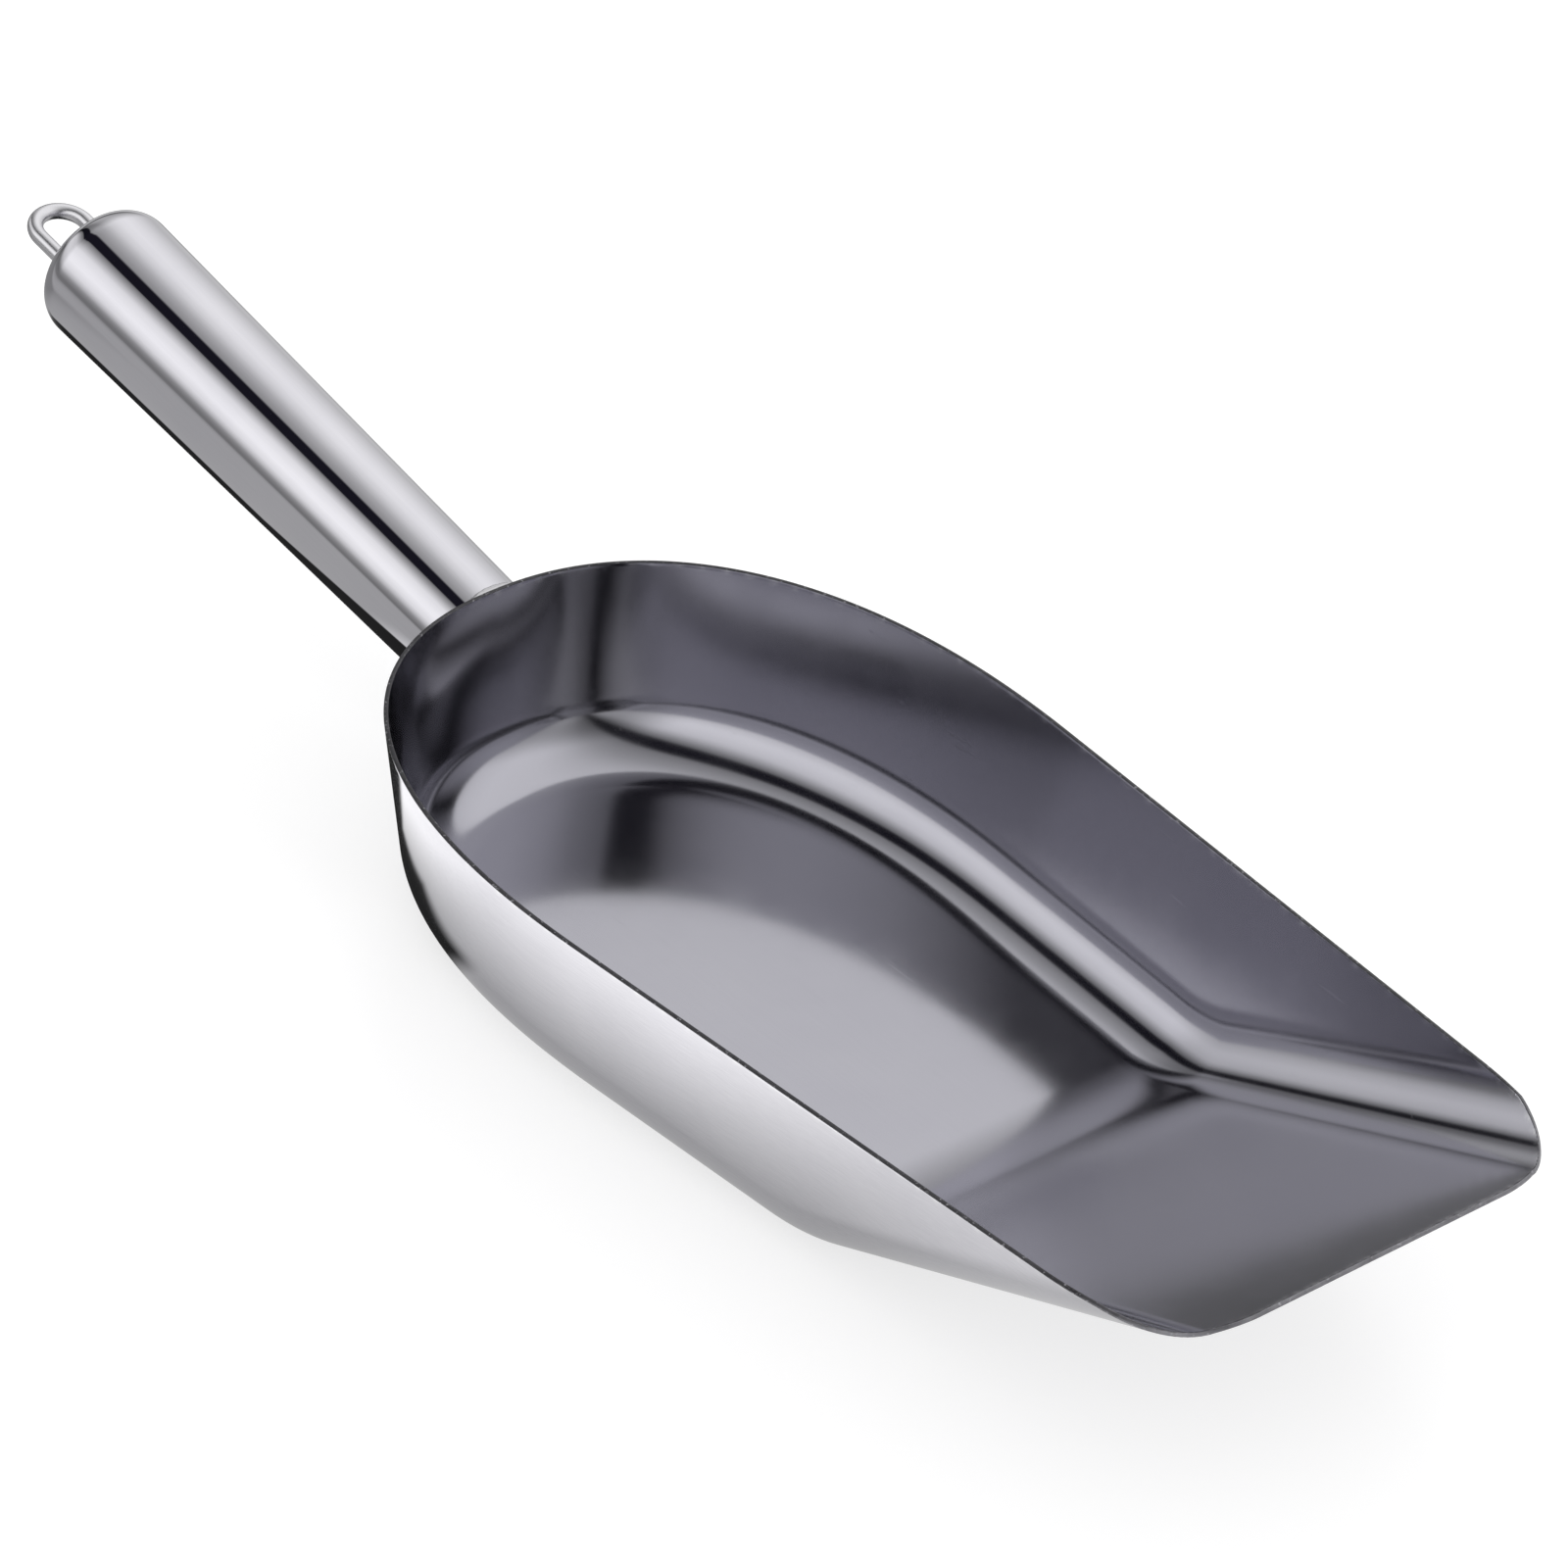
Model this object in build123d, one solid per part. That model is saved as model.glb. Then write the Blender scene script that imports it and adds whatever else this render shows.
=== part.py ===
# Ice scoop: pressed sheet bowl with a flat base and a front ramp, a hollow
# tapered handle welded to the back wall, a pressed end cap and a wire hanging loop.
#
# Frame: origin on the resting plane below the middle of the scoop's width, +Z up,
# +X towards the mouth, handle towards -X, bowl's mid plane on Y = 0. Millimetres.
from build123d import *
import math
import os

os.makedirs("parts", exist_ok=True)


# Trigonometry in degrees
def sin(degrees):
    return math.sin(math.radians(degrees))


def cos(degrees):
    return math.cos(math.radians(degrees))


def tan(degrees):
    return math.tan(math.radians(degrees))


# ---------------------------------------------------------------- bowl dimensions
SHEET = 0.7                 # bowl sheet thickness
BOWL_LENGTH = 189.4         # back rim to the foremost edge of the lip
BOWL_BACK = -62.0           # X of the back rim, outside
BACK_WIDTH = 103.0          # plan width the sides run to at the back rim, outside
MOUTH_WIDTH = 81.0          # plan width at the lip before the corners are trimmed
BOWL_HEIGHT = 31.3          # resting plane to rim plane
WALL_DRAFT = 9.9            # degrees, walls lean in towards the base
BASE_FILLET = 11.5          # outside radius between wall and base or ramp
BACK_ROUND = 75.0           # length over which the plan rounds from side to back
BACK_EXP = 2.21             # superellipse exponent of the rounded back
BACK_STEPS = 22             # spline steps from the back centre to one side
RAMP_ANGLE = 22.74          # degrees, front ramp
KINK_RADIUS = 34.0          # outside blend between base and ramp
LIP_CORNER = 17.8           # radius of the trimmed lip corners, in the ramp's plane
TRIM_CLEAR = 0.2            # the trim outline's clearance beside the walls

BOWL_LIP = BOWL_BACK + BOWL_LENGTH
SIDE_SLOPE = (BACK_WIDTH - MOUTH_WIDTH) / 2 / BOWL_LENGTH
# The lip is cut square to the ramp's sheet: the inner corner is in the rim plane,
# and the outer skin's line, run on, meets the rim plane here.
RAMP_TOP = BOWL_LIP + SHEET * cos(RAMP_ANGLE) ** 2 / sin(RAMP_ANGLE)

# Construction overruns of the bowl forms and cutters
OVER = 24.0                 # wall loft above the rim plane
BLOCK_OVER = 5.0            # side profile above the top of the wall loft
LOFT_BOTTOM = -2.0          # Z of the wall loft's lower end
FRONT_OVER = 70.0           # wall loft in front of the lip
BACK_OVER = 40.0            # side profile behind the back rim
BLOCK_WIDTH = 200.0         # wider than the bowl
KEEP_LENGTH = 400.0         # longer than the wall loft
KEEP_UNDER = 5.0            # kept block below the resting plane
TRIM_LENGTH = 120.0         # lip trim outline, back from the lip
TRIM_DEPTH = 60.0           # lip trim, square to the ramp
CUT_FRONT = 60.0            # lip cutter in front of the lip
CUT_BACK = 20.0             # lip cutter behind the lip
CUT_SIDE = 30.0             # lip cutter beyond each side
SPARE_LENGTH = 40.0         # block that spares the sides behind the corners
SPARE_OVER = 10.0           # that block beyond the lip cutter, sides, top and bottom
ON_FLOOR = 0.02             # tolerance for a point on the base or ramp

# ---------------------------------------------------------------- handle dimensions
HANDLE_ANGLE = 9.8          # degrees, handle rises away from the bowl
HANDLE_AXIS_DROP = 11.0     # handle axis below the rim plane at the back rim
HANDLE_LENGTH = 99.3        # back rim to handle tip, along the axis
NECK_RADIUS = 9.75          # outside, at the back rim
END_RADIUS = 11.2           # outside, where the end starts to round
END_EDGE = 5.6              # outside edge radius of the end cap
END_CROWN = 0.7             # dome height of the end cap's flat
TUBE_WALL = 0.8
SEAM_START = 85.0           # axial position of the cap seam
SEAM_WIDTH = 0.9            # weld width at the cap seam
CAP_START = SEAM_START + SEAM_WIDTH
NECK_BEAD = 1.7             # radius of the weld bead at the bowl

WIRE_RADIUS = 1.25          # hanging loop wire
LOOP_HALF = 4.3             # half the spacing of the legs, centreline
LOOP_REACH = 5.8            # straight leg length beyond the handle tip
LOOP_LEG_IN = 3.5           # leg length inside the handle tip
LEG_BEAD = 0.9              # inner weld bead leg at each loop leg
LEG_BEAD_EXTRA = 0.15       # added to both radii of the bead's cone

# Construction overruns of the handle pieces
HANDLE_IN = 30.0            # tube and core in front of the back rim
CORE_LENGTH = 40.0          # core of the neck weld behind the back rim
CAP_INNER_OVER = 1.0        # the cap's hollow past its open end
HOLE_OVER = 12.0            # leg holes each way from the handle tip
LEG_BEAD_OVER = 1.2         # bead cone past the bead, into the cap

# Finding the tube's outer foot edges
FOOT_LIMIT = 15.0           # they all lie nearer the back rim than this, along the axis
FOOT_RADIUS_SLACK = 0.5     # they come no nearer the axis than the neck radius less this
FOOT_SAMPLES = 24           # points taken along each edge


# ---------------------------------------------------------------- helpers
def closed_lines(*points):
    """Straight edges through the points and back to the first."""
    return [Line(a, b) for a, b in zip(points, points[1:] + points[:1])]


def largest(shape):
    return sorted(shape.solids(), key=lambda solid: solid.volume)[-1]


# ---------------------------------------------------------------- bowl
def half_width(x):
    """Outside half width of the sides at the rim plane."""
    return BACK_WIDTH / 2 - SIDE_SLOPE * (x - BOWL_BACK)


def plan_points():
    """Rim-plane outline from the back centre along the -Y side to the straight."""
    points = []
    for i in range(BACK_STEPS + 1):
        angle = math.pi / 2 * i / BACK_STEPS
        # the end values are set exactly
        along = math.cos(angle) ** (2 / BACK_EXP) if i < BACK_STEPS else 0.0
        across = math.sin(angle) ** (2 / BACK_EXP) if i > 0 else 0.0
        x = BOWL_BACK + BACK_ROUND * (1 - along)
        points.append((x, -half_width(x) * across))
    return points


def plan_section(z, inset):
    """Closed plan outline at height z, the rim outline moved in by the wall
    draft and by inset; the front runs straight past the lip."""
    offset = (BOWL_HEIGHT - z) * tan(WALL_DRAFT) + inset
    points = plan_points()
    near = []
    for i, (x, y) in enumerate(points):
        # direction of the outline; its outward normal is (dy, -dx)
        if i == 0:
            dx, dy = 0.0, -1.0
        elif i == len(points) - 1:
            dx, dy = 1.0, SIDE_SLOPE
        else:
            dx = points[i + 1][0] - points[i - 1][0]
            dy = points[i + 1][1] - points[i - 1][1]
        length = math.hypot(dx, dy)
        near.append(Vector(x - dy / length * offset, y + dx / length * offset, z))
    far = [Vector(v.X, -v.Y, z) for v in reversed(near[1:])]
    arc = Spline(*(far + near),
                 tangents=[Vector(-1, SIDE_SLOPE, 0), Vector(1, SIDE_SLOPE, 0)])
    front_x = BOWL_LIP + FRONT_OVER
    front_y = near[-1].Y + SIDE_SLOPE * (front_x - near[-1].X)
    front_near = Vector(front_x, front_y, z)
    front_far = Vector(front_x, -front_y, z)
    return Wire([arc, Line(arc @ 1, front_near), Line(front_near, front_far),
                 Line(front_far, arc @ 0)])


def kink(inset):
    """X where base and ramp lines meet, their blend's radius and tangent length."""
    x = RAMP_TOP - BOWL_HEIGHT / tan(RAMP_ANGLE) - inset * tan(RAMP_ANGLE / 2)
    radius = KINK_RADIUS - inset
    return x, radius, radius * tan(RAMP_ANGLE / 2)


def side_profile(inset):
    """Face in the XZ plane above the base, blend and ramp."""
    x, radius, tangent = kink(inset)
    blend_start = Vector(x - tangent, 0, inset)
    blend_mid = Vector(x - tangent + radius * sin(RAMP_ANGLE / 2), 0,
                       inset + radius * (1 - cos(RAMP_ANGLE / 2)))
    blend_end = Vector(x + tangent * cos(RAMP_ANGLE), 0, inset + tangent * sin(RAMP_ANGLE))
    top = BOWL_HEIGHT + OVER + BLOCK_OVER
    back_low = Vector(BOWL_BACK - BACK_OVER, 0, inset)
    back_top = Vector(BOWL_BACK - BACK_OVER, 0, top)
    ramp_end = Vector(x + (top - inset) / tan(RAMP_ANGLE), 0, top)
    return Face(Wire([
        Line(back_low, blend_start),
        ThreePointArc(blend_start, blend_mid, blend_end),
        Line(blend_end, ramp_end),
        Line(ramp_end, back_top),
        Line(back_top, back_low),
    ]))


def on_floor(point, inset):
    """Whether the point lies on the base, blend or ramp."""
    x, radius, tangent = kink(inset)
    if point.X <= x - tangent:
        z = inset
    elif point.X < x + tangent * cos(RAMP_ANGLE):
        z = inset + radius - math.sqrt(max(radius ** 2 - (point.X - (x - tangent)) ** 2, 0))
    else:
        z = inset + (point.X - x) * tan(RAMP_ANGLE)
    return abs(point.Z - z) < ON_FLOOR


def is_floor_edge(edge, inset):
    """Whether to pick the edge for the fillet between the walls and the floor."""
    start, middle, end = edge @ 0, edge @ 0.5, edge @ 1
    if abs(start.Y) < 1 and abs(end.Y) < 1:
        return False
    # ends matching in X and Z rule out the straight creases across the bowl
    if abs(start.X - end.X) < 0.01 and abs(start.Z - end.Z) < 0.01:
        return False
    return all(on_floor(point, inset) for point in (start, middle, end))


def bowl_form(inset):
    """Solid form inside the bowl's outer (inset 0) or inner (inset SHEET) skin,
    open upwards past the rim plane."""
    top = plan_section(BOWL_HEIGHT + OVER, inset / cos(WALL_DRAFT))
    low = plan_section(LOFT_BOTTOM, inset / cos(WALL_DRAFT))
    walls = Solid.make_loft([top, low], ruled=True)
    block = Solid.extrude(side_profile(inset), Vector(0, BLOCK_WIDTH, 0)).moved(
        Location((0, -BLOCK_WIDTH / 2, 0)))
    form = (walls & block).solids()[0]
    edges = [edge for edge in form.edges() if is_floor_edge(edge, inset)]
    return form.fillet(BASE_FILLET - inset, edges)


def lip_cutter():
    """Cutter for the lip and its rounded corners."""
    # local origin at the lip's inner corner, X up the ramp, Z square to its sheet
    lip = Plane(origin=Vector(RAMP_TOP - SHEET / sin(RAMP_ANGLE), 0, BOWL_HEIGHT),
                x_dir=Vector(cos(RAMP_ANGLE), 0, sin(RAMP_ANGLE)),
                z_dir=Vector(-sin(RAMP_ANGLE), 0, cos(RAMP_ANGLE)))
    # the trim outline keeps just clear of the tapering sides
    half = half_width(BOWL_LIP)
    front_y = half + TRIM_CLEAR
    back_y = front_y + TRIM_LENGTH * SIDE_SLOPE * cos(RAMP_ANGLE)
    outline = Face(Wire(closed_lines((0, -front_y, 0), (0, front_y, 0),
                                     (-TRIM_LENGTH, back_y, 0), (-TRIM_LENGTH, -back_y, 0))))
    body = Solid.extrude(outline, Vector(0, 0, TRIM_DEPTH)).moved(
        Location((0, 0, -TRIM_DEPTH / 2)))
    front_edges = [e for e in body.edges().filter_by(Axis.Z) if e.center().X > -5]
    body = fillet(front_edges, LIP_CORNER)
    cut_width = 2 * (half + CUT_SIDE)
    cutter = Pos((CUT_FRONT - CUT_BACK) / 2, 0, 0) * Box(
        CUT_FRONT + CUT_BACK, cut_width, TRIM_DEPTH) - body
    # behind the corners the sides keep their full width
    cutter = cutter - Pos(-LIP_CORNER - SPARE_LENGTH / 2, 0, 0) * Box(
        SPARE_LENGTH, cut_width + 2 * SPARE_OVER, TRIM_DEPTH + 2 * SPARE_OVER)
    return lip.location * cutter


def build_bowl(outer_form):
    shell = outer_form - bowl_form(SHEET)
    below_rim = Box(KEEP_LENGTH, BLOCK_WIDTH, BOWL_HEIGHT + KEEP_UNDER,
                    align=(Align.CENTER, Align.CENTER, Align.MAX)).moved(
        Location((0, 0, BOWL_HEIGHT)))
    shell = shell & below_rim
    return largest(shell - lip_cutter())


# ---------------------------------------------------------------- handle
HANDLE_DIR = Vector(-cos(HANDLE_ANGLE), 0, sin(HANDLE_ANGLE))
AXIS_START = Vector(BOWL_BACK, 0, BOWL_HEIGHT - HANDLE_AXIS_DROP)
# local frame: Z along the handle axis, X along the bowl's width
HANDLE_FRAME = Plane(origin=AXIS_START, x_dir=Vector(0, 1, 0), z_dir=HANDLE_DIR).location


def along_axis(point):
    """Distance of a point from the back rim, along the handle axis."""
    return (point - AXIS_START).dot(HANDLE_DIR)


def off_axis(point):
    """Distance of a point from the handle axis."""
    return (point - AXIS_START - HANDLE_DIR * along_axis(point)).length


def radius_at(along):
    """Outside radius of the tapered handle."""
    return NECK_RADIUS + (END_RADIUS - NECK_RADIUS) * along / (HANDLE_LENGTH - END_EDGE)


def local(across, along):
    """Point in the handle's local XZ plane."""
    return Vector(across, 0, along)


def revolve_profile(edges):
    """Revolve a closed local profile about the handle axis."""
    body = Solid.revolve(Face(Wire(edges)), 360, Axis((0, 0, 0), (0, 0, 1)))
    return HANDLE_FRAME * body


def tapered_ring(start, end):
    """Length of the handle's tapered wall."""
    start_radius, end_radius = radius_at(start), radius_at(end)
    return revolve_profile(closed_lines(
        local(start_radius - TUBE_WALL, start), local(start_radius, start),
        local(end_radius, end), local(end_radius - TUBE_WALL, end)))


def build_tube(outer_form):
    tube = tapered_ring(-HANDLE_IN, SEAM_START) - outer_form
    # the piece behind the back wall
    return sorted(tube.solids(), key=lambda solid: along_axis(solid.center()))[-1]


def turned_cap(inset, start):
    """Solid of revolution of the cap's outer skin, moved in by inset."""
    edge_start = HANDLE_LENGTH - END_CROWN - END_EDGE
    side_radius = radius_at(edge_start) - inset
    edge = END_EDGE - inset
    flat = side_radius - edge                 # radius of the crowned flat
    top = HANDLE_LENGTH - inset
    ball = (flat * flat + END_CROWN * END_CROWN) / (2 * END_CROWN)
    crown_mid = flat / 2
    crown_drop = ball - math.sqrt(ball * ball - crown_mid * crown_mid)
    base_centre = local(0, start)
    base_rim = local(radius_at(start) - inset, start)
    side_end = local(side_radius, edge_start)
    edge_mid = local(flat + edge * sin(45), edge_start + edge * cos(45))
    edge_end = local(flat, edge_start + edge)
    tip = local(0, top)
    return revolve_profile([
        Line(base_centre, base_rim),
        Line(base_rim, side_end),
        ThreePointArc(side_end, edge_mid, edge_end),
        ThreePointArc(edge_end, local(crown_mid, top - crown_drop), tip),
        Line(tip, base_centre),
    ])


def build_cap():
    """Hollow end cap with a hole for each loop leg."""
    cap = largest(turned_cap(0.0, CAP_START) - turned_cap(TUBE_WALL, CAP_START - CAP_INNER_OVER))
    for across in (-LOOP_HALF, LOOP_HALF):
        foot = Plane(origin=local(across, HANDLE_LENGTH - HOLE_OVER), z_dir=Vector(0, 0, 1))
        hole = Solid.make_cylinder(WIRE_RADIUS, 2 * HOLE_OVER, foot)
        cap = cap - HANDLE_FRAME * hole
    return largest(cap)


def build_loop():
    """Hanging loop: two straight legs joined by a half circle."""
    inner = HANDLE_LENGTH - LOOP_LEG_IN
    outer = HANDLE_LENGTH + LOOP_REACH
    path = Wire([
        Line(local(-LOOP_HALF, inner), local(-LOOP_HALF, outer)),
        ThreePointArc(local(-LOOP_HALF, outer), local(0, outer + LOOP_HALF),
                      local(LOOP_HALF, outer)),
        Line(local(LOOP_HALF, outer), local(LOOP_HALF, inner)),
    ])
    section = Plane(origin=path @ 0, z_dir=path % 0) * Circle(WIRE_RADIUS)
    return HANDLE_FRAME * sweep(section, path=path).solids()[0]


def build_leg_beads(cap, loop):
    """Small weld collars round each leg, inside the cap."""
    # the cap's inner skin at the legs
    skin = HANDLE_LENGTH - TUBE_WALL - END_CROWN * (LOOP_HALF / (END_RADIUS - END_EDGE)) ** 2
    radius = WIRE_RADIUS + LEG_BEAD_EXTRA
    beads = []
    for across in (-LOOP_HALF, LOOP_HALF):
        cone = Solid.make_cone(radius, radius + LEG_BEAD, LEG_BEAD + LEG_BEAD_OVER,
                               Plane(origin=local(across, skin - LEG_BEAD),
                                     z_dir=Vector(0, 0, 1)))
        bead = (HANDLE_FRAME * cone) - cap - loop
        beads.append(sorted(bead.solids(), key=lambda solid: along_axis(solid.center()))[0])
    return Compound(children=beads)


def build_neck_bead(outer_form, tube):
    """Weld bead round the tube where it meets the back wall, a ring lying in
    the plane of the tube's foot."""
    foot = []
    for edge in tube.edges():
        points = [edge @ (k / FOOT_SAMPLES) for k in range(FOOT_SAMPLES)]
        if (max(along_axis(p) for p in points) < FOOT_LIMIT
                and min(off_axis(p) for p in points) > NECK_RADIUS - FOOT_RADIUS_SLACK):
            foot += points
    middle = sum(foot, Vector(0, 0, 0)) * (1 / len(foot))
    high = max(foot, key=lambda p: p.Z)
    low = min(foot, key=lambda p: p.Z)
    normal = Vector(0, 1, 0).cross((high - low).normalized())
    ring_radius = sum((p - middle).length for p in foot) / len(foot)
    ring = Solid.make_torus(ring_radius, NECK_BEAD, Plane(origin=middle, z_dir=normal))
    core = revolve_profile(closed_lines(
        local(0, -HANDLE_IN), local(radius_at(-HANDLE_IN), -HANDLE_IN),
        local(radius_at(CORE_LENGTH), CORE_LENGTH), local(0, CORE_LENGTH)))
    return largest(ring - core - outer_form)


# ---------------------------------------------------------------- build and export
outer_form = bowl_form(0.0)
tube = build_tube(outer_form)
cap = build_cap()
loop = build_loop()

nodes = {
    "bowl": build_bowl(outer_form),
    "handle_tube": tube,
    "handle_end_cap": cap,
    "hanging_loop": loop,
    "neck_weld": build_neck_bead(outer_form, tube),
    "cap_seam_weld": tapered_ring(SEAM_START, CAP_START),
    "loop_leg_welds": build_leg_beads(cap, loop),
}
for name, shape in nodes.items():
    shape.label = name
    export_step(shape, f"parts/{name}.step")
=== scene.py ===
"""Stainless steel scoop: an open bowl with a ramped floor, and a tube handle with a wire loop.

The bowl stands on z = 0 with its lip towards +X and its rounded back towards -X.
The handle leaves the back towards -X, rising. Everything is symmetric about y = 0.
Shape dimensions are in mm; make_object turns them into Blender's metres.
"""
import math

import bmesh
import bpy
import numpy as np
from mathutils import Matrix, Vector


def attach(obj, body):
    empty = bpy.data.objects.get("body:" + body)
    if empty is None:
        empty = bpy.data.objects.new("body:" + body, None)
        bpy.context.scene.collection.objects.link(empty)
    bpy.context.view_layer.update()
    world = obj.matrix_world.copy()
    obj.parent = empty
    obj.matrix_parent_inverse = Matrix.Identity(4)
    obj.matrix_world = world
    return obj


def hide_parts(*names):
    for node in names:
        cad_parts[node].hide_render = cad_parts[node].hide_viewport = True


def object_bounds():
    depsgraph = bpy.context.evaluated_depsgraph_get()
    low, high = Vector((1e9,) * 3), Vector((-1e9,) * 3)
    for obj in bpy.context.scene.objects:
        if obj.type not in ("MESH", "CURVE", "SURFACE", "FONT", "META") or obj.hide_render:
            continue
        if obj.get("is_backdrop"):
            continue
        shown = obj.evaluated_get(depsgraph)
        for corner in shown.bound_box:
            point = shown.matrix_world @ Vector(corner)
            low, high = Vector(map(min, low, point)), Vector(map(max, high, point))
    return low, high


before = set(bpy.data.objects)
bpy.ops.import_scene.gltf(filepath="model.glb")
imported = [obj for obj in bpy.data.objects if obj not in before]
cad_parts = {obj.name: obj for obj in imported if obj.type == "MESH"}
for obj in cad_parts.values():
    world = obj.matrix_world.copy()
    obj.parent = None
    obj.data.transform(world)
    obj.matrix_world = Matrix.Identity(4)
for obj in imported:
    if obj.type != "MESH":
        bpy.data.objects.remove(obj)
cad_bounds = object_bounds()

MM = 0.001
rad = math.radians

# ------------------------------------------------------------------ bowl dimensions, mm
SHEET = 0.7                 # sheet thickness
EDGE_R = 0.17               # rounding of the sheet's cut edge
LENGTH = 189.4
BACK_X = -62.0
LIP_X = BACK_X + LENGTH
BACK_WIDTH = 103.0          # straight sides, extended to the back
MOUTH_WIDTH = 81.0          # and at the lip
RIM_Z = 31.3
DRAFT = rad(9.9)            # lean of the walls
FILLET = 11.5               # floor to wall, outer skin
BACK_DEPTH = 75.0           # length of the rounded back
SPINE_X = BACK_X + BACK_DEPTH
OUTLINE_POWER = 2.21        # superellipse exponent of the rounded back
RAMP = rad(22.74)           # slope of the floor up to the lip
RAMP_TOP_X = LIP_X + SHEET * math.cos(RAMP) ** 2 / math.sin(RAMP)
KINK_X = RAMP_TOP_X - RIM_Z / math.tan(RAMP)
KINK_R = 34.0               # blend from flat floor to ramp
KINK_TANGENT = KINK_R * math.tan(RAMP / 2)
LIP_CORNER_R = 17.8
LIP_CLEARANCE = 0.2
SIDE_SLOPE = (BACK_WIDTH - MOUTH_WIDTH) / 2 / LENGTH
SIDE_DIR = np.array([SIDE_SLOPE, -1.0]) / math.hypot(SIDE_SLOPE, 1.0)   # out of the -Y side

# mesh counts of the bowl
BACK_ROWS, FLAT_ROWS, KINK_ROWS, RAMP_ROWS, CORNER_ROWS = 84, 22, 20, 40, 34
FLOOR_STEPS, SIDE_STEPS = 22, 58
EDGE_ARC_STEPS = 4

# ------------------------------------------------------------------ handle dimensions, mm
HANDLE_ANGLE = rad(9.8)
HANDLE_DROP = 11.0          # axis below the rim at the bowl's back
HANDLE_LENGTH = 99.3
NECK_R = 9.75
END_R = 11.2
END_EDGE_R = 5.6            # rounded edge of the end cap
CROWN = 0.7                 # bulge of the cap's end face
WALL = 0.8
SEAM_START = 85.0           # along the axis
SEAM_WIDTH = 0.9
SEAM_END = SEAM_START + SEAM_WIDTH
SURFACE_INSET = 0.006       # turned surfaces lie this far inside their nominal radius
SEGMENTS = 192
ANGLES = [2 * math.pi * j / SEGMENTS for j in range(SEGMENTS)]
WIRE_R = 1.25
LOOP_HALF = 4.3             # half the distance between the loop's legs
LOOP_REACH = 5.8            # straight leg outside the cap
LEG_INSIDE = 3.5            # straight leg inside the cap

AXIS = np.array([-math.cos(HANDLE_ANGLE), 0.0, math.sin(HANDLE_ANGLE)])
AXIS_START = np.array([BACK_X, 0.0, RIM_Z - HANDLE_DROP])
ACROSS = np.array([0.0, 1.0, 0.0])
AXIS_UP = np.cross(ACROSS, AXIS)


# ------------------------------------------------------------------ mesh helpers
def make_object(name, verts, faces, materials, face_materials=None):
    mesh = bpy.data.meshes.new(name)
    mesh.from_pydata((np.asarray(verts) * MM).tolist(), [], faces)
    mesh.update()
    for material in materials:
        mesh.materials.append(material)
    if face_materials is not None:
        mesh.polygons.foreach_set("material_index", np.asarray(face_materials, np.int32))
    mesh.polygons.foreach_set("use_smooth", np.ones(len(mesh.polygons), bool))
    ob = bpy.data.objects.new(name, mesh)
    bpy.context.scene.collection.objects.link(ob)
    return ob


def make_shell(*args):
    """A closed object with every face pointing away from its inside."""
    ob = make_object(*args)
    bm = bmesh.new()
    bm.from_mesh(ob.data)
    bmesh.ops.recalc_face_normals(bm, faces=bm.faces)
    bm.to_mesh(ob.data)
    bm.free()
    ob.data.update()
    return ob


def grid_faces(rows, cols, base=0, wrap_rows=False, wrap_cols=False, flip=False):
    faces = []
    for i in range(rows if wrap_rows else rows - 1):
        this_row = base + i * cols
        next_row = base + ((i + 1) % rows) * cols
        for j in range(cols if wrap_cols else cols - 1):
            k = (j + 1) % cols
            face = (this_row + j, next_row + j, next_row + k, this_row + k)
            faces.append(face[::-1] if flip else face)
    return faces


def set_edge_wear(ob, values):
    attribute = ob.data.attributes.new("edge_wear", "FLOAT", "POINT")
    attribute.data.foreach_set("value", np.asarray(values, np.float32))


def hand_over(ob, piece):
    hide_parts(piece)
    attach(ob, "root")


def bisect(is_past, low, high, steps):
    """Narrow low..high round the place where is_past turns true."""
    for _ in range(steps):
        middle = (low + high) / 2
        if is_past(middle):
            high = middle
        else:
            low = middle
    return low, high


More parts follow.
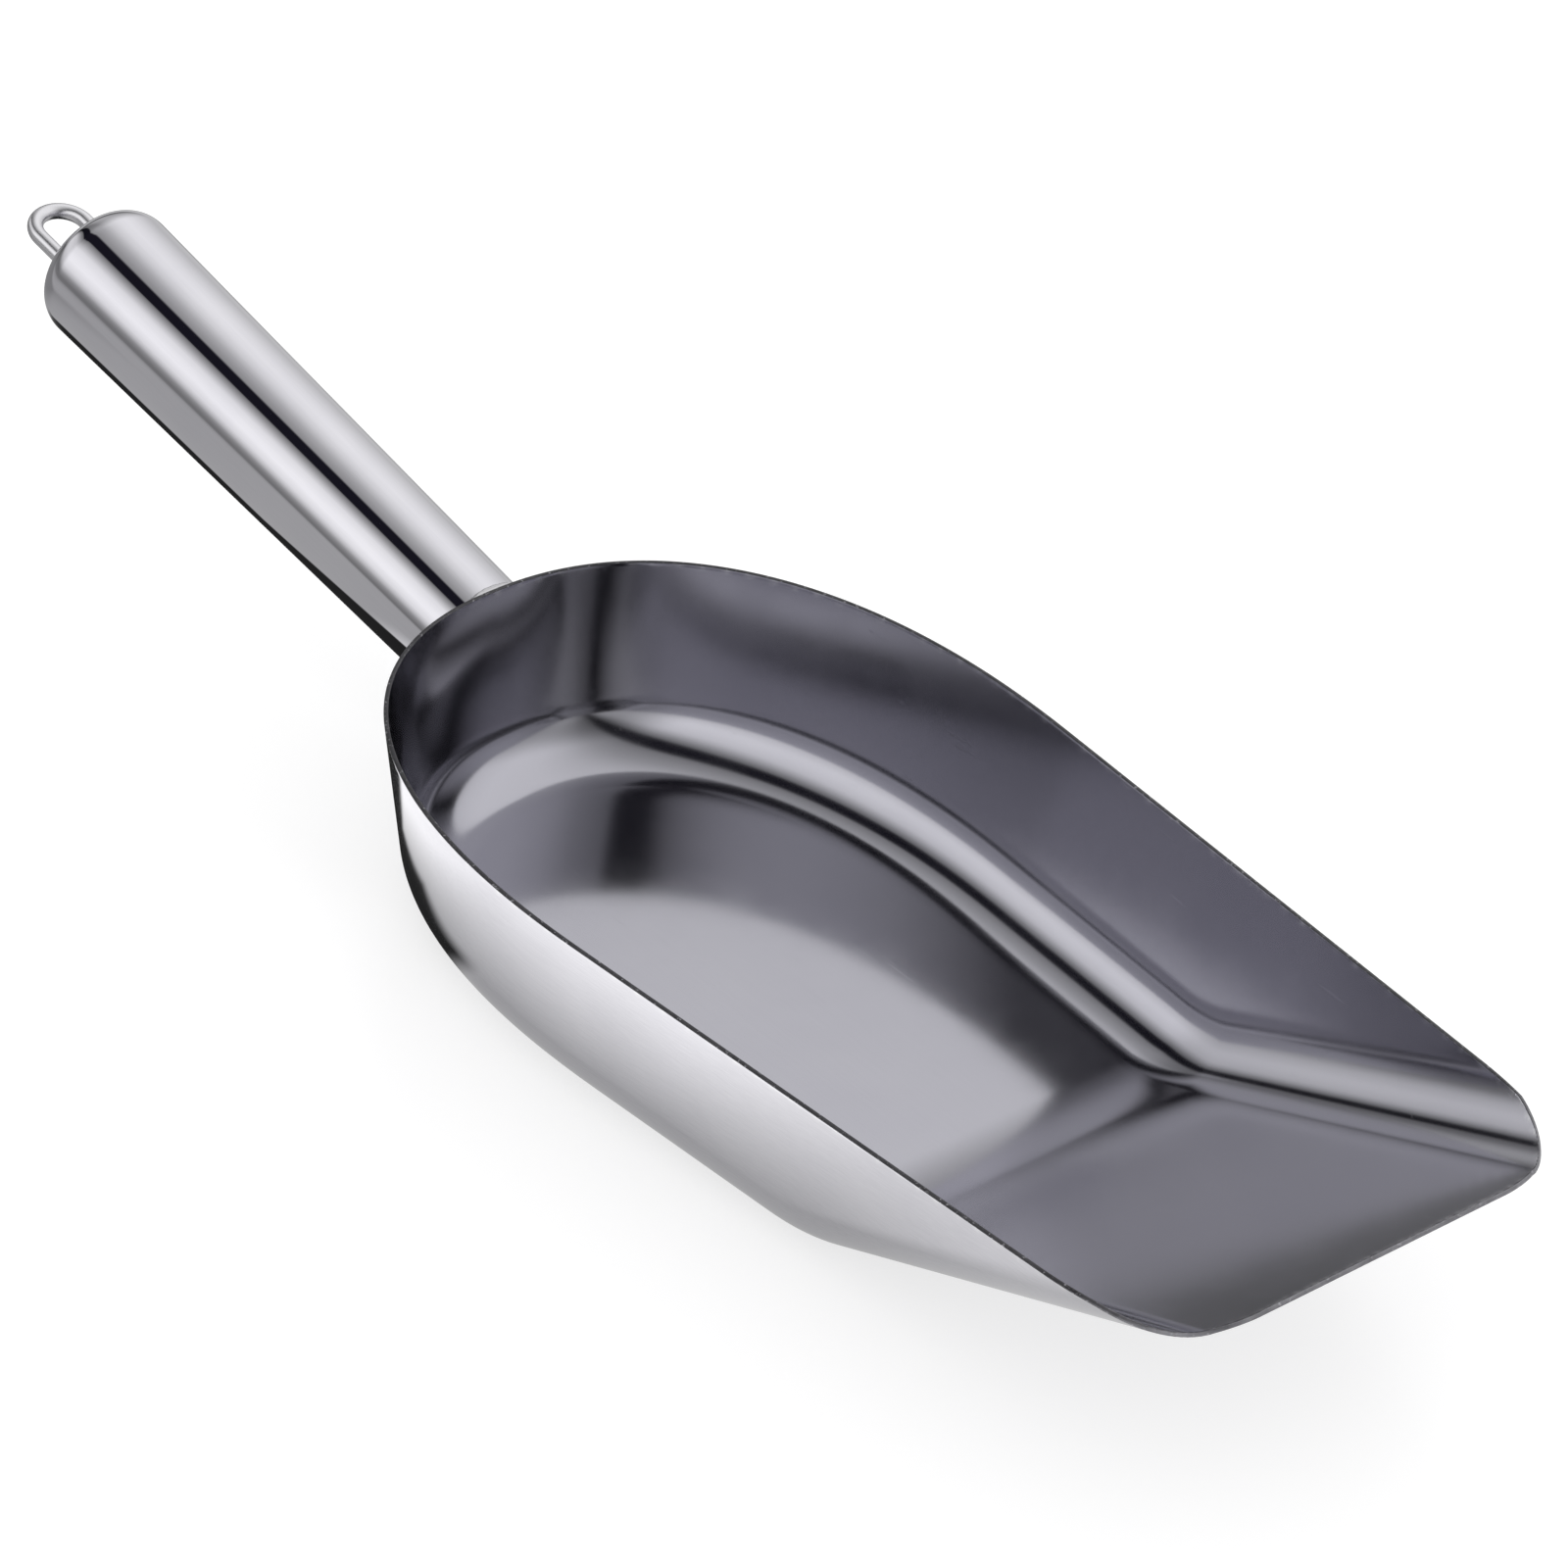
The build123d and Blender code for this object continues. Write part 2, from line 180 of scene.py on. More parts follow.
# ------------------------------------------------------------------ shader helpers
class Nodes:
    """An emptied node tree and short ways to add to it. Inputs take a value or a socket."""

    def __init__(self, owner):
        owner.use_nodes = True
        self.tree = owner.node_tree
        self.tree.nodes.clear()

    def feed(self, socket, value):
        if isinstance(value, bpy.types.NodeSocket):
            self.tree.links.new(value, socket)
        else:
            socket.default_value = value

    def add(self, kind, inputs=None, **settings):
        node = self.tree.nodes.new("ShaderNode" + kind)
        for key, value in settings.items():
            setattr(node, key, value)
        for key, value in (inputs or {}).items():
            self.feed(node.inputs[key], value)
        return node

    def math(self, operation, *values, clamp=False):
        inputs = dict(enumerate(values))
        return self.add("Math", inputs, operation=operation, use_clamp=clamp).outputs[0]

    def remap(self, value, between, to=(0.0, 1.0), smooth=False):
        inputs = {"Value": value, "From Min": between[0], "From Max": between[1],
                  "To Min": to[0], "To Max": to[1]}
        kind = "SMOOTHSTEP" if smooth else "LINEAR"
        return self.add("MapRange", inputs, interpolation_type=kind).outputs["Result"]

    def mix(self, factor, a, b):
        """a + (b - a) * factor on plain numbers."""
        return self.add("Mix", {0: factor, 2: a, 3: b}, data_type="FLOAT").outputs[0]

    def mix_colour(self, factor, a, b, blend="MIX"):
        inputs = {0: factor, 6: a, 7: b}
        return self.add("Mix", inputs, data_type="RGBA", blend_type=blend).outputs[2]

    def mix_by_glossy_ray(self, other_rays, glossy_rays):
        is_glossy = self.add("LightPath").outputs["Is Glossy Ray"]
        return self.add("MixShader", {0: is_glossy, 1: other_rays, 2: glossy_rays}).outputs[0]

    def noise(self, coords, scale, detail=4.0, rough=0.55):
        inputs = {"Scale": scale, "Detail": detail, "Roughness": rough, "Vector": coords}
        return self.add("TexNoise", inputs).outputs["Fac"]

    def ramp(self, factor, stops):
        """Linear colour ramp through (position, rgb) stops."""
        node = self.add("ValToRGB", {0: factor})
        elements = node.color_ramp.elements
        while len(elements) > 1:
            elements.remove(elements[-1])
        elements[0].position = stops[0][0]
        elements[0].color = (*stops[0][1], 1)
        for position, colour in stops[1:]:
            elements.new(position).color = (*colour, 1)
        return node.outputs[0]

    def bump(self, height):
        return self.add("Bump", {"Distance": 0.001, "Height": height}).outputs[0]


def new_metal(name):
    """Material with a fully metallic surface; gives its nodes, surface and coordinates."""
    mat = bpy.data.materials.new(name)
    nodes = Nodes(mat)
    surface = nodes.add("BsdfPrincipled", {"Metallic": 1.0})
    nodes.add("OutputMaterial", {0: surface.outputs[0]})
    return mat, nodes, surface.inputs, nodes.add("TexCoord").outputs["Object"]


# ------------------------------------------------------------------ metals
def polishing_lines(nodes, coords, line_turn):
    """Noise drawn out along X after the turn."""
    turned_coords = nodes.add("Mapping", {"Rotation": line_turn, "Vector": coords}).outputs[0]
    drawn_out = nodes.add("Mapping", {"Scale": (0.02, 1.0, 1.0), "Vector": turned_coords})
    return nodes.noise(drawn_out.outputs[0], scale=5200.0, detail=3.0, rough=0.6)


def hairline_scratches(nodes, coords):
    """Sparse marks in two directions, 1 on a mark."""
    marks = []
    for turn, scale in ((0.45, 900.0), (-0.9, 1160.0)):
        mapping = nodes.add("Mapping", {"Rotation": (0, 0, turn), "Scale": (0.035, 1.0, 1.0),
                                        "Vector": coords})
        field = nodes.noise(mapping.outputs[0], scale=scale, detail=2.0, rough=0.5)
        marks.append(nodes.remap(field, between=(0.72, 0.77)))
    return nodes.math("MAXIMUM", *marks)


def steel(name, colour, roughness, smudge, lines=0.0, waves=0.0, scratches=0.0,
          line_turn=(0, 0, 0), worn=False):
    """Stainless steel.

    smudge: extra roughness in clouds; lines: strength of the fine polishing lines,
    which line_turn puts along X; waves: slow waviness of the sheet; scratches: strength
    of the handling marks; worn: lighter and duller where the edge_wear attribute is 1.
    """
    mat, nodes, surface, coords = new_metal(name)
    cloud = nodes.noise(coords, scale=28.0, detail=3.0)
    fine_cloud = nodes.noise(coords, scale=160.0)

    # slow drift between two near greys
    red, green, blue = colour
    darker = (red * 0.965, green * 0.965, blue * 0.975, 1)
    lighter = (*(min(channel * 1.03, 1) for channel in colour), 1)
    tint = nodes.mix_colour(nodes.remap(cloud, between=(0.3, 0.7)), darker, lighter)
    rough = nodes.math(
        "ADD",
        nodes.remap(cloud, between=(0.35, 0.7), to=(roughness, roughness + smudge)),
        nodes.remap(fine_cloud, between=(0.4, 0.75), to=(0.0, smudge * 0.5)))

    heights = []
    if lines:               # darker, rougher and cut in along the lines
        brushed = polishing_lines(nodes, coords, line_turn)
        shade = nodes.ramp(brushed, [(0.30, (0.80, 0.80, 0.81)), (0.62, (1, 1, 1))])
        tint = nodes.mix_colour(min(0.35, lines * 4), tint, shade, blend="MULTIPLY")
        grain = nodes.remap(brushed, between=(0.35, 0.7), to=(0.0, lines * 0.10))
        rough = nodes.math("ADD", rough, grain)
        heights.append(nodes.math("MULTIPLY", brushed, lines * 0.003))
    if waves:
        slow = nodes.noise(coords, scale=55.0, detail=1.5)
        heights.append(nodes.math("MULTIPLY", slow, waves))
    if scratches:
        marks = hairline_scratches(nodes, coords)
        rough = nodes.math("ADD", rough, nodes.math("MULTIPLY", marks, 0.14 * scratches))
        heights.append(nodes.math("MULTIPLY", marks, -0.003 * scratches))
    if worn:
        wear = nodes.add("Attribute", attribute_name="edge_wear").outputs["Fac"]
        speckle = nodes.noise(coords, scale=900.0, detail=3.0)
        wear = nodes.math("MULTIPLY", wear, nodes.remap(speckle, between=(0.35, 0.65)),
                          clamp=True)
        tint = nodes.mix_colour(wear, tint, (0.86, 0.86, 0.865, 1))
        rough = nodes.math("ADD", rough, nodes.math("MULTIPLY", wear, 0.16))

    nodes.feed(surface["Base Color"], tint)
    lowest_roughness = 0.02
    nodes.feed(surface["Roughness"], nodes.math("MAXIMUM", rough, lowest_roughness))
    if heights:
        total = heights[0]
        for height in heights[1:]:
            total = nodes.math("ADD", total, height)
        nodes.feed(surface["Normal"], nodes.bump(total))
    return mat


def cut_edge_steel():
    """Dull dark cut edge with bright specks, with painted light making it lighter along the lip.
    """
    mat, nodes, surface, coords = new_metal("sheet_cut_edge")
    x = nodes.add("SeparateXYZ", {0: coords}).outputs[0]
    # painted light: the edge's tone rises towards the lip
    painted_lip_light = nodes.remap(x, between=(0.108, 0.124), smooth=True)       # metres
    blotches = nodes.noise(coords, scale=260.0, detail=3.0)
    flecks = nodes.noise(coords, scale=1500.0, detail=2.0, rough=0.6)

    rim_tone, lip_painted_light_tone = 0.085, 0.30
    tone = nodes.mix(painted_lip_light, rim_tone, lip_painted_light_tone)
    blotch_gain = nodes.remap(blotches, between=(0.3, 0.7), to=(0.70, 1.25))
    tone = nodes.math("MULTIPLY", tone, blotch_gain)
    fleck_tone = nodes.remap(flecks, between=(0.60, 0.72), to=(0.0, 0.26))
    tone = nodes.math("ADD", tone, fleck_tone)
    green_share, blue_share = 0.985, 1.06
    colour = nodes.add("CombineColor", {0: tone, 1: nodes.math("MULTIPLY", tone, green_share),
                                        2: nodes.math("MULTIPLY", tone, blue_share)})
    nodes.feed(surface["Base Color"], colour.outputs[0])
    nodes.feed(surface["Roughness"], nodes.remap(blotches, between=(0.3, 0.7), to=(0.30, 0.46)))
    fleck_height = 0.05
    nodes.feed(surface["Normal"], nodes.bump(nodes.math("MULTIPLY", flecks, fleck_height)))
    return mat


POLISHED_GREY = (0.690, 0.682, 0.718)
bowl_outer = steel("bowl_polished", POLISHED_GREY, roughness=0.070, smudge=0.025,
                   lines=0.08, waves=0.012, scratches=0.25, worn=True)
# the inside is a darker, bluer copy of the polished steel: painted shade for the hollow
bowl_inner_painted_shade = steel("bowl_inside_painted_shade", (0.450, 0.446, 0.488), roughness=0.105, smudge=0.040,
                   lines=0.02, waves=0.016, scratches=0.4, worn=True)
handle_mirror = steel("handle_mirror", POLISHED_GREY, roughness=0.022, smudge=0.012,
                      lines=0.03, waves=0.003, line_turn=(0, -HANDLE_ANGLE, 0), worn=True)
loop_steel = steel("loop_wire", (0.76, 0.755, 0.775), roughness=0.260, smudge=0.05)
weld_steel = steel("weld_bead", (0.60, 0.595, 0.61), roughness=0.20, smudge=0.08,
                   lines=0.15, waves=0.05)
cut_edge = cut_edge_steel()


# ------------------------------------------------------------------ bowl outline and trim
def half_width(x):
    return (BACK_WIDTH + (MOUTH_WIDTH - BACK_WIDTH) * (x - BACK_X) / LENGTH) / 2


def outline(t):
    """Rim outline (x, y) on the -Y side; t is 0 at the back centre, pi/2 at the straight side."""
    cosine, sine = max(math.cos(t), 0.0), max(math.sin(t), 0.0)
    x = BACK_X + BACK_DEPTH * (1 - cosine ** (2 / OUTLINE_POWER))
    return np.array([x, -half_width(x) * sine ** (2 / OUTLINE_POWER)])


def outline_normal(t):
    """Outward (x, y) direction of the outline."""
    if t < 1e-4:
        return np.array([-1.0, 0.0])
    if t > math.pi / 2 - 1e-4:
        return SIDE_DIR.copy()
    step = 2e-4
    before, after = outline(max(t - step, 0.0)), outline(min(t + step, math.pi / 2))
    along = (after - before) / np.linalg.norm(after - before)
    return np.array([along[1], -along[0]])


LIP_INNER = np.array([RAMP_TOP_X - SHEET / math.sin(RAMP), 0.0, RIM_Z])
UP_RAMP = np.array([math.cos(RAMP), 0.0, math.sin(RAMP)])
LIP_HALF_WIDTH = half_width(LIP_X) + LIP_CLEARANCE
TRIM_Z = RIM_Z - SHEET * math.sin(DRAFT)


def trim_value(point):
    """Positive past the rim plane or past the lip's rounded outline."""
    ahead = float((point - LIP_INNER) @ UP_RAMP)
    if ahead < -LIP_CORNER_R:       # the lip's outline only trims its own corners
        past_lip = -1.0
    else:
        side = LIP_HALF_WIDTH - SIDE_SLOPE * ahead * math.cos(RAMP)
        u = ahead + LIP_CORNER_R
        v = abs(float(point[1])) - side + LIP_CORNER_R
        past_lip = (math.hypot(max(u, 0), max(v, 0)) + min(max(u, v), 0)) - LIP_CORNER_R
    return max(point[2] - TRIM_Z, past_lip)


def trim_fraction(a, b):
    """How far along a to b the trim is met."""
    return bisect(lambda f: trim_value(a + (b - a) * f) > 0, 0.0, 1.0, steps=40)[0]


# ------------------------------------------------------------------ bowl floor along y = 0
# each gives the outer floor point and its outward normal
def flat_floor(x):
    return np.array([x, 0.0, 0.0]), np.array([0.0, 0.0, -1.0])


def kink_floor(angle):
    sine, cosine = math.sin(angle), math.cos(angle)
    point = np.array([KINK_X - KINK_TANGENT + KINK_R * sine, 0.0, KINK_R * (1 - cosine)])
    return point, np.array([sine, 0.0, -cosine])


def ramp_floor(x):
    point = np.array([x, 0.0, (x - KINK_X) * math.tan(RAMP)])
    return point, np.array([math.sin(RAMP), 0.0, -math.cos(RAMP)])


# ------------------------------------------------------------------ bowl rows, spine to rim
# The fillet is the path of a ball touching the floor and the wall.
def wall_normal(wall_dir):
    return np.array([wall_dir[0] * math.cos(DRAFT), wall_dir[1] * math.cos(DRAFT),
                     -math.sin(DRAFT)])


def back_ball(rim_point, wall_dir):
    """Ball centre in the wall's normal plane at an outline point."""
    inset = (RIM_Z - FILLET) * math.tan(DRAFT) + FILLET / math.cos(DRAFT)
    x, y = rim_point - wall_dir * inset
    return np.array([x, y, FILLET])


def side_ball(floor_point, floor_normal):
    """Ball centre beside a floor point, touching the straight -Y wall."""
    x, _, z = floor_point - FILLET * floor_normal
    normal = wall_normal(SIDE_DIR)
    on_wall = np.array([0.0, -half_width(0.0), RIM_Z])
    y = (normal @ on_wall - FILLET - normal[0] * x - normal[2] * z) / normal[1]
    return np.array([x, y, z])


def slerp(a, b, v):
    angle = math.acos(max(-1, min(1, float(a @ b))))
    return (math.sin((1 - v) * angle) * a + math.sin(v * angle) * b) / math.sin(angle)


def trimmed_side(ball, floor_normal, wall_dir):
    """Finely stepped fillet and wall up to the trim: points and normals."""
    past_rim = RIM_Z + 2
    normal = wall_normal(wall_dir)
    normals = [slerp(floor_normal, normal, v) for v in np.linspace(0, 1, 90)]
    points = [ball + FILLET * n for n in normals]
    per_height = np.array([wall_dir[0] * math.tan(DRAFT), wall_dir[1] * math.tan(DRAFT), 1.0])
    top = points[-1]
    if top[2] < past_rim:
        for z in np.linspace(top[2], past_rim, 40)[1:]:
            points.append(top + per_height * (z - top[2]))
            normals.append(normal)
    points, normals = np.array(points), np.array(normals)
    i = next(i for i, point in enumerate(points) if trim_value(point) > 0)
    f = trim_fraction(points[i - 1], points[i])
    end_point = points[i - 1] + (points[i] - points[i - 1]) * f
    end_normal = normals[i - 1] + (normals[i] - normals[i - 1]) * f
    return np.vstack([points[:i], end_point]), np.vstack([normals[:i], end_normal])


def bowl_row(start, ball, floor_normal, wall_dir):
    """One row on the outer skin from the spine to the trim: points and unit normals."""
    contact = ball + FILLET * floor_normal
    if trim_value(contact) <= 1e-9:
        floor_end = contact
        points, normals = trimmed_side(ball, floor_normal, wall_dir)
    else:
        # the row ends on the floor: its outer 12 mm go to the side columns
        edge = start + (contact - start) * trim_fraction(start, contact)
        share = min(1.0, 12.0 / max(np.linalg.norm(edge - start), 1e-6))
        floor_end = start + (edge - start) * (1 - share)
        points = np.array([floor_end, edge])
        normals = np.array([floor_normal, floor_normal])
    lengths = np.linalg.norm(np.diff(points, axis=0), axis=1)
    travelled = np.concatenate([[0], np.cumsum(lengths)])
    wanted = np.linspace(0, 1, SIDE_STEPS + 1)[1:] * travelled[-1]

    def spread(values):
        return np.stack([np.interp(wanted, travelled, values[:, k]) for k in range(3)], 1)

    floor_points = [start + (floor_end - start) * u for u in np.linspace(0, 1, FLOOR_STEPS + 1)]
    floor_normals = np.repeat(floor_normal[None], FLOOR_STEPS + 1, 0)
    all_normals = np.vstack([floor_normals, spread(normals)])
    all_normals /= np.linalg.norm(all_normals, axis=1)[:, None]
    return np.vstack([np.array(floor_points), spread(points)]), all_normals


def bowl_rows():
    """Rows of the -Y half from the back centre to the lip: points and normals."""
    # rounded back: spokes from one pole, spaced by length along the rim
    pole, down = flat_floor(SPINE_X)
    fine_t = np.linspace(0, math.pi / 2, 2000)
    fine = np.array([outline(t) for t in fine_t])
    lengths = np.linalg.norm(np.diff(fine, axis=0), axis=1)
    travelled = np.concatenate([[0], np.cumsum(lengths)])
    rows = []
    for t in np.interp(np.linspace(0, travelled[-1], BACK_ROWS), travelled, fine_t):
        wall_dir = outline_normal(t)
        rows.append(bowl_row(pole, back_ball(outline(t), wall_dir), down, wall_dir))
    rows[0][0][:, 1] = 0.0

    # straight sides: flat floor, kink, ramp, lip corner
    ramp_start = KINK_X + KINK_TANGENT * math.cos(RAMP)
    corner_run = LIP_CORNER_R * math.cos(RAMP)
    flat_x = np.linspace(SPINE_X, KINK_X - KINK_TANGENT, FLAT_ROWS)[1:]
    ramp_x = np.linspace(ramp_start, LIP_X - corner_run, RAMP_ROWS)[1:]
    stations = [flat_floor(x) for x in flat_x]
    stations += [kink_floor(angle) for angle in np.linspace(0, RAMP, KINK_ROWS)[1:]]
    stations += [ramp_floor(x) for x in ramp_x]
    stations += [ramp_floor(LIP_X - corner_run * (1 - math.sin(angle)))
                 for angle in np.linspace(0, math.pi / 2, CORNER_ROWS)[1:]]
    for point, normal in stations:
        rows.append(bowl_row(point, side_ball(point, normal), normal, SIDE_DIR))
    return np.array([row[0] for row in rows]), np.array([row[1] for row in rows])


def mirrored_skin():
    """Whole outer skin: points, normals, faces and the vertex loop round its edge."""
    row_points, row_normals = bowl_rows()
    rows, cols = row_points.shape[:2]
    index, points, normals = {}, [], []

    def vertex(i, k, side):
        """Index of row i, column k; side 1 is -Y, -1 is +Y. The spine is shared."""
        if i < BACK_ROWS and k == 0:
            key = "pole"
        elif k == 0 or i == 0:
            key = (i, k, 1)
        else:
            key = (i, k, side)
        if key not in index:
            index[key] = len(points)
            point, normal = row_points[i, k].copy(), row_normals[i, k].copy()
            if k == 0:
                normal[1] = 0
            point[1] *= side
            normal[1] *= side
            points.append(point)
            normals.append(normal / np.linalg.norm(normal))
        return index[key]

    faces = []
    for side in (1, -1):
        for i in range(rows - 1):
            for k in range(cols - 1):
                quad = [vertex(i, k, side), vertex(i + 1, k, side),
                        vertex(i + 1, k + 1, side), vertex(i, k + 1, side)]
                # drop repeated corners at the pole
                face = [quad[0]] + [quad[j] for j in range(1, 4) if quad[j] != quad[j - 1]]
                if face[-1] == face[0]:
                    face = face[:-1]
                if len(face) >= 3:
                    faces.append(tuple(face if side > 0 else face[::-1]))

    # -Y side from back to lip, across the lip, +Y side back again
    edge = [vertex(i, cols - 1, 1) for i in range(rows)]
    edge += [vertex(rows - 1, k, 1) for k in range(cols - 2, -1, -1)]
    edge += [vertex(rows - 1, k, -1) for k in range(1, cols - 1)]
    edge += [vertex(i, cols - 1, -1) for i in range(rows - 1, 0, -1)]
    return np.array(points), np.array(normals), faces, np.array(edge)


def edge_section():
    """Cut edge from outer to inner skin: (setback from the edge, depth into the sheet)."""
    arc = [math.pi / 2 * j / EDGE_ARC_STEPS for j in range(1, EDGE_ARC_STEPS)]
    corner = [(EDGE_R * (1 - math.sin(a)), EDGE_R * (1 - math.cos(a))) for a in arc]
    face = [(0.0, EDGE_R + (SHEET - 2 * EDGE_R) * f) for f in np.linspace(0, 1, 4)]
    return corner + face + [(setback, SHEET - depth) for setback, depth in corner[::-1]]


def build_bowl():
    skin, normals, skin_faces, edge = mirrored_skin()
    edge_points, edge_normals = skin[edge], normals[edge]
    tangents = np.roll(edge_points, -1, 0) - np.roll(edge_points, 1, 0)
    tangents /= np.linalg.norm(tangents, axis=1)[:, None]
    # out of the sheet's edge, square to the rim curve and to the skin's normal
    edge_out = np.cross(edge_normals, tangents)
    edge_out /= np.linalg.norm(edge_out, axis=1)[:, None]

    skin[edge] = edge_points - edge_out * EDGE_R
    inner = skin - normals * SHEET
    strips = [edge_points - edge_out * setback - edge_normals * depth
              for setback, depth in edge_section()]
    verts = np.vstack([skin, inner] + strips)

    count, around = len(skin), len(edge)
    faces = skin_faces + [tuple(v + count for v in face[::-1]) for face in skin_faces]
    face_materials = [0] * len(skin_faces) + [1] * len(skin_faces)
    rings = [edge]
    rings += [2 * count + around * j + np.arange(around) for j in range(len(strips))]
    rings.append(edge + count)
    for a, b in zip(rings[:-1], rings[1:]):
        for j in range(around):
            k = (j + 1) % around
            faces.append((int(a[j]), int(a[k]), int(b[k]), int(b[j])))
            face_materials.append(2)
    ob = make_shell("bowl_shell", verts, faces, [bowl_outer, bowl_inner_painted_shade, cut_edge],
                    face_materials)

    # wear fades out away from the edge; in parts, to save memory
    wear_width, wear_power = 1.3, 1.5
    samples = edge_points[None, ::3, :]
    distance = np.concatenate([np.sqrt(((part[:, None, :] - samples) ** 2).sum(2)).min(1)
                               for part in np.array_split(skin, 8)])
    distance = np.concatenate([distance, distance, np.zeros(around * len(strips))])
    set_edge_wear(ob, np.clip(1 - distance / wear_width, 0, 1) ** wear_power)
    hand_over(ob, "bowl")


# ------------------------------------------------------------------ handle
BACK_T = np.linspace(0, 0.9, 700)
BACK_OUTLINE = np.array([outline(t) for t in BACK_T])
BACK_NORMALS = np.array([outline_normal(t) for t in BACK_T])


def radius_at(s):
    """Outer radius at s along the axis."""
    return NECK_R + (END_R - NECK_R) * s / (HANDLE_LENGTH - END_EDGE_R)


def radial(angle):
    """Direction out of the axis: 0 at +Y, pi/2 up."""
    return ACROSS * math.cos(angle) + AXIS_UP * math.sin(angle)


def turned_point(s, radius, angle):
    return AXIS_START + AXIS * s + radial(angle) * (radius - SURFACE_INSET)


def wall_gap(point):
    """Signed distance to the bowl's outer back wall, positive outside."""
    flat_point = np.array([point[0], -abs(point[1])])
    i = int(np.argmin(((BACK_OUTLINE - flat_point) ** 2).sum(1)))
    outside = (flat_point - BACK_OUTLINE[i]) @ BACK_NORMALS[i]
    return (outside + (RIM_Z - point[2]) * math.tan(DRAFT)) * math.cos(DRAFT)


def foot(angle, inset=0.0):
    """Place along the axis where the tube's surface meets the bowl's outer wall."""
    def outside(s):
        return wall_gap(turned_point(s, radius_at(s) - inset, angle)) > 0

    return bisect(outside, -12.0, 14.0, steps=34)[1]


def finish_handle_part(ob, piece):
    set_edge_wear(ob, np.zeros(len(ob.data.vertices)))
    ob.data.set_sharp_from_angle(angle=rad(35))
    hand_over(ob, piece)


def build_sleeve(name, piece, outer_starts, inner_starts, end, row_count):
    """Tube wall from a start per angle to a common end, outer rows then inner rows back."""
    steps = np.linspace(0, 1, row_count)
    rows = [(outer_starts, u, 0.0) for u in steps]
    rows += [(inner_starts, u, WALL) for u in steps[::-1]]
    points = []
    for starts, u, inset in rows:
        for start, angle in zip(starts, ANGLES):
            s = start + (end - start) * u
            points.append(turned_point(s, radius_at(s) - inset, angle))
    faces = grid_faces(len(rows), SEGMENTS, wrap_rows=True, wrap_cols=True)
    finish_handle_part(make_shell(name, points, faces, [handle_mirror]), piece)


def cap_profile(inset):
    """(s, radius) along the cap's side, rounded edge and crowned end to the axis."""
    edge_start = HANDLE_LENGTH - CROWN - END_EDGE_R
    edge_r = END_EDGE_R - inset
    face_r = radius_at(edge_start) - inset - edge_r
    crown_r = (face_r * face_r + CROWN * CROWN) / (2 * CROWN)
    top = HANDLE_LENGTH - inset
    profile = [(s, radius_at(s) - inset) for s in np.linspace(SEAM_END, edge_start, 12)]
    profile += [(edge_start + edge_r * math.sin(a), face_r + edge_r * math.cos(a))
                for a in np.linspace(0, math.pi / 2, 26)[1:]]
    profile += [(top - (crown_r - math.sqrt(crown_r * crown_r - r * r)), r)
                for r in np.linspace(face_r, 0, 22)[1:]]
    return profile


def build_cap():
    points, faces = [], []

    def add_surface(profile, flip):
        base = len(points)
        points.extend(turned_point(s, r, angle) for s, r in profile[:-1] for angle in ANGLES)
        tip = len(points)
        points.append(turned_point(profile[-1][0], 0.0, 0.0))
        faces.extend(grid_faces(len(profile) - 1, SEGMENTS, base, wrap_cols=True, flip=flip))
        last = base + (len(profile) - 2) * SEGMENTS
        for j in range(SEGMENTS):
            face = (last + j, tip, last + (j + 1) % SEGMENTS)
            faces.append(face[::-1] if flip else face)
        return base

    outer = add_surface(cap_profile(0.0), False)
    inner = add_surface(cap_profile(WALL), True)
    for j in range(SEGMENTS):
        k = (j + 1) % SEGMENTS
        faces.append((outer + j, outer + k, inner + k, inner + j))
    ob = make_shell("end_cap_shell", points, faces, [handle_mirror])
    finish_handle_part(ob, "handle_end_cap")


# ------------------------------------------------------------------ hanging loop
def build_loop():
    """Round wire: leg at -Y, half circle, leg at +Y."""
    inside, bend = HANDLE_LENGTH - LEG_INSIDE, HANDLE_LENGTH + LOOP_REACH
    path = [(-LOOP_HALF, s) for s in np.linspace(inside, bend, 22)]
    path += [(-LOOP_HALF * math.cos(a), bend + LOOP_HALF * math.sin(a))
             for a in np.linspace(0, math.pi, 50)[1:-1]]
    path += [(LOOP_HALF, s) for s in np.linspace(bend, inside, 22)]
    path = np.array(path)           # columns: across, along the axis
    along = np.gradient(path, axis=0)
    along /= np.linalg.norm(along, axis=1)[:, None]
    centres = [AXIS_START + AXIS * s + ACROSS * y for y, s in path]

    around = 40
    points = []
    for centre, (along_y, along_s) in zip(centres, along):
        sideways = ACROSS * along_s - AXIS * along_y
        for j in range(around):
            a = 2 * math.pi * j / around
            points.append(centre + (sideways * math.cos(a) + AXIS_UP * math.sin(a)) * WIRE_R)
    faces = grid_faces(len(path), around, wrap_cols=True)
    for base, centre in ((0, centres[0]), ((len(path) - 1) * around, centres[-1])):
        tip = len(points)
        points.append(centre)
        faces += [(base + j, base + (j + 1) % around, tip) for j in range(around)]
    hand_over(make_shell("loop_wire", points, faces, [loop_steel]), "hanging_loop")


